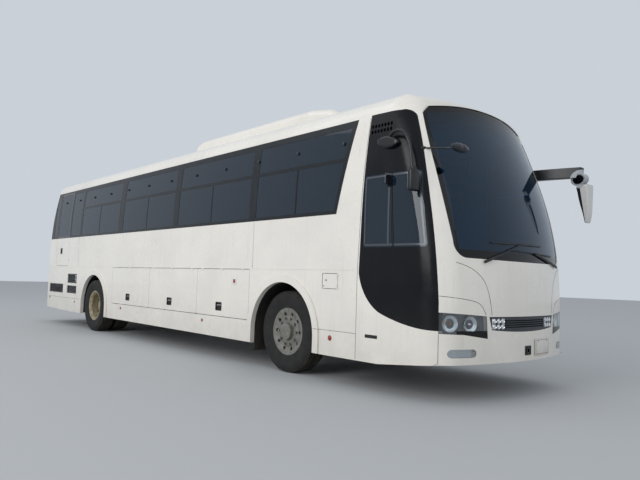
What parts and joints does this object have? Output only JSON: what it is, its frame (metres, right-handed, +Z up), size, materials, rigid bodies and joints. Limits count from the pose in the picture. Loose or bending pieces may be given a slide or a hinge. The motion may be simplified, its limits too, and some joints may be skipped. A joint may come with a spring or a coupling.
{
  "type": "high-deck coach bus",
  "caption": "Twelve metre high-deck coach with opening doors, luggage doors and engine lid, steered front wheels and turning twin rear wheels.",
  "frame": {"origin": "on the ground under the middle of the body", "axes": "+X towards the front, +Y to the left side, +Z up"},
  "size_m": [12.081, 2.77, 3.4999],
  "materials": {
    "body_paint": "gloss",
    "black_panel": "gloss",
    "window_frame": "satin",
    "glazing": "tinted",
    "lamp_lens": "clear",
    "lamp_bowl": "polished",
    "red_lamp": "gloss",
    "grille": "matt",
    "plate": "satin",
    "floor": "matt",
    "hold_lining": "matt",
    "frame_paint": "satin",
    "liner": "matt",
    "engine": "matt",
    "dash": "matt",
    "seat_cloth": "matt",
    "mirror_shell": "gloss",
    "door_gear": "satin",
    "rim": "satin",
    "tyre": "matt"
  },
  "bodies": {
    "coach": {"arch_liners": "liner", "bumper": "body_paint", "cabin_floor": "floor", "chassis_frame": "frame_paint", "dashboard": "dash", "driver_panel": "black_panel", "engine": "engine", "entrance_panel": "black_panel", "entrance_steps": "floor", "front_axle": "frame_paint", "front_grille": "grille", "front_mask": "body_paint", "front_shell": "body_paint", "lamp_bodies": "lamp_bowl", "lamp_lenses": "lamp_lens", "luggage_hold": "hold_lining", "mirrors": "mirror_shell", "number_plates": "plate", "rear_axle": "frame_paint", "rear_wall": "body_paint", "rear_window": "glazing", "roof": "body_paint", "roof_cooler": "body_paint", "seats": "seat_cloth", "side_glass": "glazing", "side_louvres": "grille", "side_wall_left": "body_paint", "side_wall_right": "body_paint", "tail_lamps": "red_lamp", "window_frames": "window_frame", "windscreen": "glazing"},
    "knuckle_right": {"knuckle_right": "frame_paint"},
    "knuckle_left": {"knuckle_left": "frame_paint"},
    "front_wheel_right": {"front_rim_right": "rim", "front_tyre_right": "tyre"},
    "front_wheel_left": {"front_rim_left": "rim", "front_tyre_left": "tyre"},
    "rear_wheels_right": {"rear_rims_right": "rim", "rear_tyres_right": "tyre"},
    "rear_wheels_left": {"rear_rims_left": "rim", "rear_tyres_left": "tyre"},
    "entrance_leaf": {"entrance_door": "black_panel", "entrance_door_glass": "glazing"},
    "entrance_arm": {"door_arm": "door_gear"},
    "exit_leaf": {"exit_door": "body_paint", "exit_door_glass": "glazing"},
    "rear_lid": {"engine_lid": "body_paint"},
    "fuel_flap": {"filler_flap": "body_paint"},
    "wheel_of_driver": {"steering_wheel": "dash"},
    "luggage_aft_right": {"hold_door_aft_right": "body_paint"},
    "luggage_aft_left": {"hold_door_aft_left": "body_paint"},
    "luggage_mid_right": {"hold_door_mid_right": "body_paint"},
    "luggage_mid_left": {"hold_door_mid_left": "body_paint"},
    "luggage_fore_right": {"hold_door_fore_right": "body_paint"},
    "luggage_fore_left": {"hold_door_fore_left": "body_paint"}
  },
  "joints": [
    {"name": "steer_right", "type": "hinge", "parent": "coach", "child": "knuckle_right", "pos_m": [3.275, -0.8, 0.517], "axis": [0, 0, 1], "range_deg": [-38, 38]},
    {"name": "front_spin_right", "type": "hinge", "parent": "knuckle_right", "child": "front_wheel_right", "pos_m": [3.275, -1.022, 0.517], "axis": [0, 1, 0], "continuous": true},
    {"name": "rear_spin_right", "type": "hinge", "parent": "coach", "child": "rear_wheels_right", "pos_m": [-3.025, -1.094, 0.517], "axis": [0, 1, 0], "continuous": true},
    {"name": "luggage_aft_right", "type": "hinge", "parent": "coach", "child": "luggage_aft_right", "pos_m": [-1.302, -1.251, 1.301], "axis": [-1, 0, 0], "range_deg": [0, 95]},
    {"name": "luggage_mid_right", "type": "hinge", "parent": "coach", "child": "luggage_mid_right", "pos_m": [0.321, -1.251, 1.301], "axis": [-1, 0, 0], "range_deg": [0, 95]},
    {"name": "luggage_fore_right", "type": "hinge", "parent": "coach", "child": "luggage_fore_right", "pos_m": [1.841, -1.251, 1.301], "axis": [-1, 0, 0], "range_deg": [0, 95]},
    {"name": "steer_left", "type": "hinge", "parent": "coach", "child": "knuckle_left", "pos_m": [3.275, 0.8, 0.517], "axis": [0, 0, 1], "range_deg": [-38, 38]},
    {"name": "front_spin_left", "type": "hinge", "parent": "knuckle_left", "child": "front_wheel_left", "pos_m": [3.275, 1.022, 0.517], "axis": [0, 1, 0], "continuous": true},
    {"name": "rear_spin_left", "type": "hinge", "parent": "coach", "child": "rear_wheels_left", "pos_m": [-3.025, 1.094, 0.517], "axis": [0, 1, 0], "continuous": true},
    {"name": "luggage_aft_left", "type": "hinge", "parent": "coach", "child": "luggage_aft_left", "pos_m": [-1.302, 1.251, 1.301], "axis": [1, 0, 0], "range_deg": [0, 95]},
    {"name": "luggage_mid_left", "type": "hinge", "parent": "coach", "child": "luggage_mid_left", "pos_m": [0.321, 1.251, 1.301], "axis": [1, 0, 0], "range_deg": [0, 95]},
    {"name": "luggage_fore_left", "type": "hinge", "parent": "coach", "child": "luggage_fore_left", "pos_m": [1.841, 1.251, 1.301], "axis": [1, 0, 0], "range_deg": [0, 95]},
    {"name": "driver_wheel_turn", "type": "hinge", "parent": "coach", "child": "wheel_of_driver", "pos_m": [5.12, -0.62, 1.6], "axis": [-0.5021, 0, 0.8648], "range_deg": [-608, 608]},
    {"name": "entrance_arm_swing", "type": "hinge", "parent": "coach", "child": "entrance_arm", "pos_m": [5.44, 1.12, 1.1], "axis": [0, 0, -1], "range_deg": [0, 145]},
    {"name": "entrance_leaf_turn", "type": "hinge", "parent": "entrance_arm", "child": "entrance_leaf", "pos_m": [5.0415, 1.0851, 1.1], "axis": [0, 0, 1], "range_deg": [0, 145]},
    {"name": "exit_door", "type": "hinge", "parent": "coach", "child": "exit_leaf", "pos_m": [-4.613, -1.251, 2.17], "axis": [0, 0, 1], "range_deg": [0, 95]},
    {"name": "engine_lid", "type": "hinge", "parent": "coach", "child": "rear_lid", "pos_m": [-6.001, 0, 1.338], "axis": [0, 1, 0], "range_deg": [0, 80]},
    {"name": "filler_flap", "type": "hinge", "parent": "coach", "child": "fuel_flap", "pos_m": [4.301, -1.251, 1.1765], "axis": [0, 0, 1], "range_deg": [0, 100]}
  ],
  "couplings": [
    {"joint": "steer_left", "follows": "steer_right", "ratio": 1},
    {"joint": "driver_wheel_turn", "follows": "steer_right", "ratio": 16},
    {"joint": "entrance_leaf_turn", "follows": "entrance_arm_swing", "ratio": 1}
  ]
}
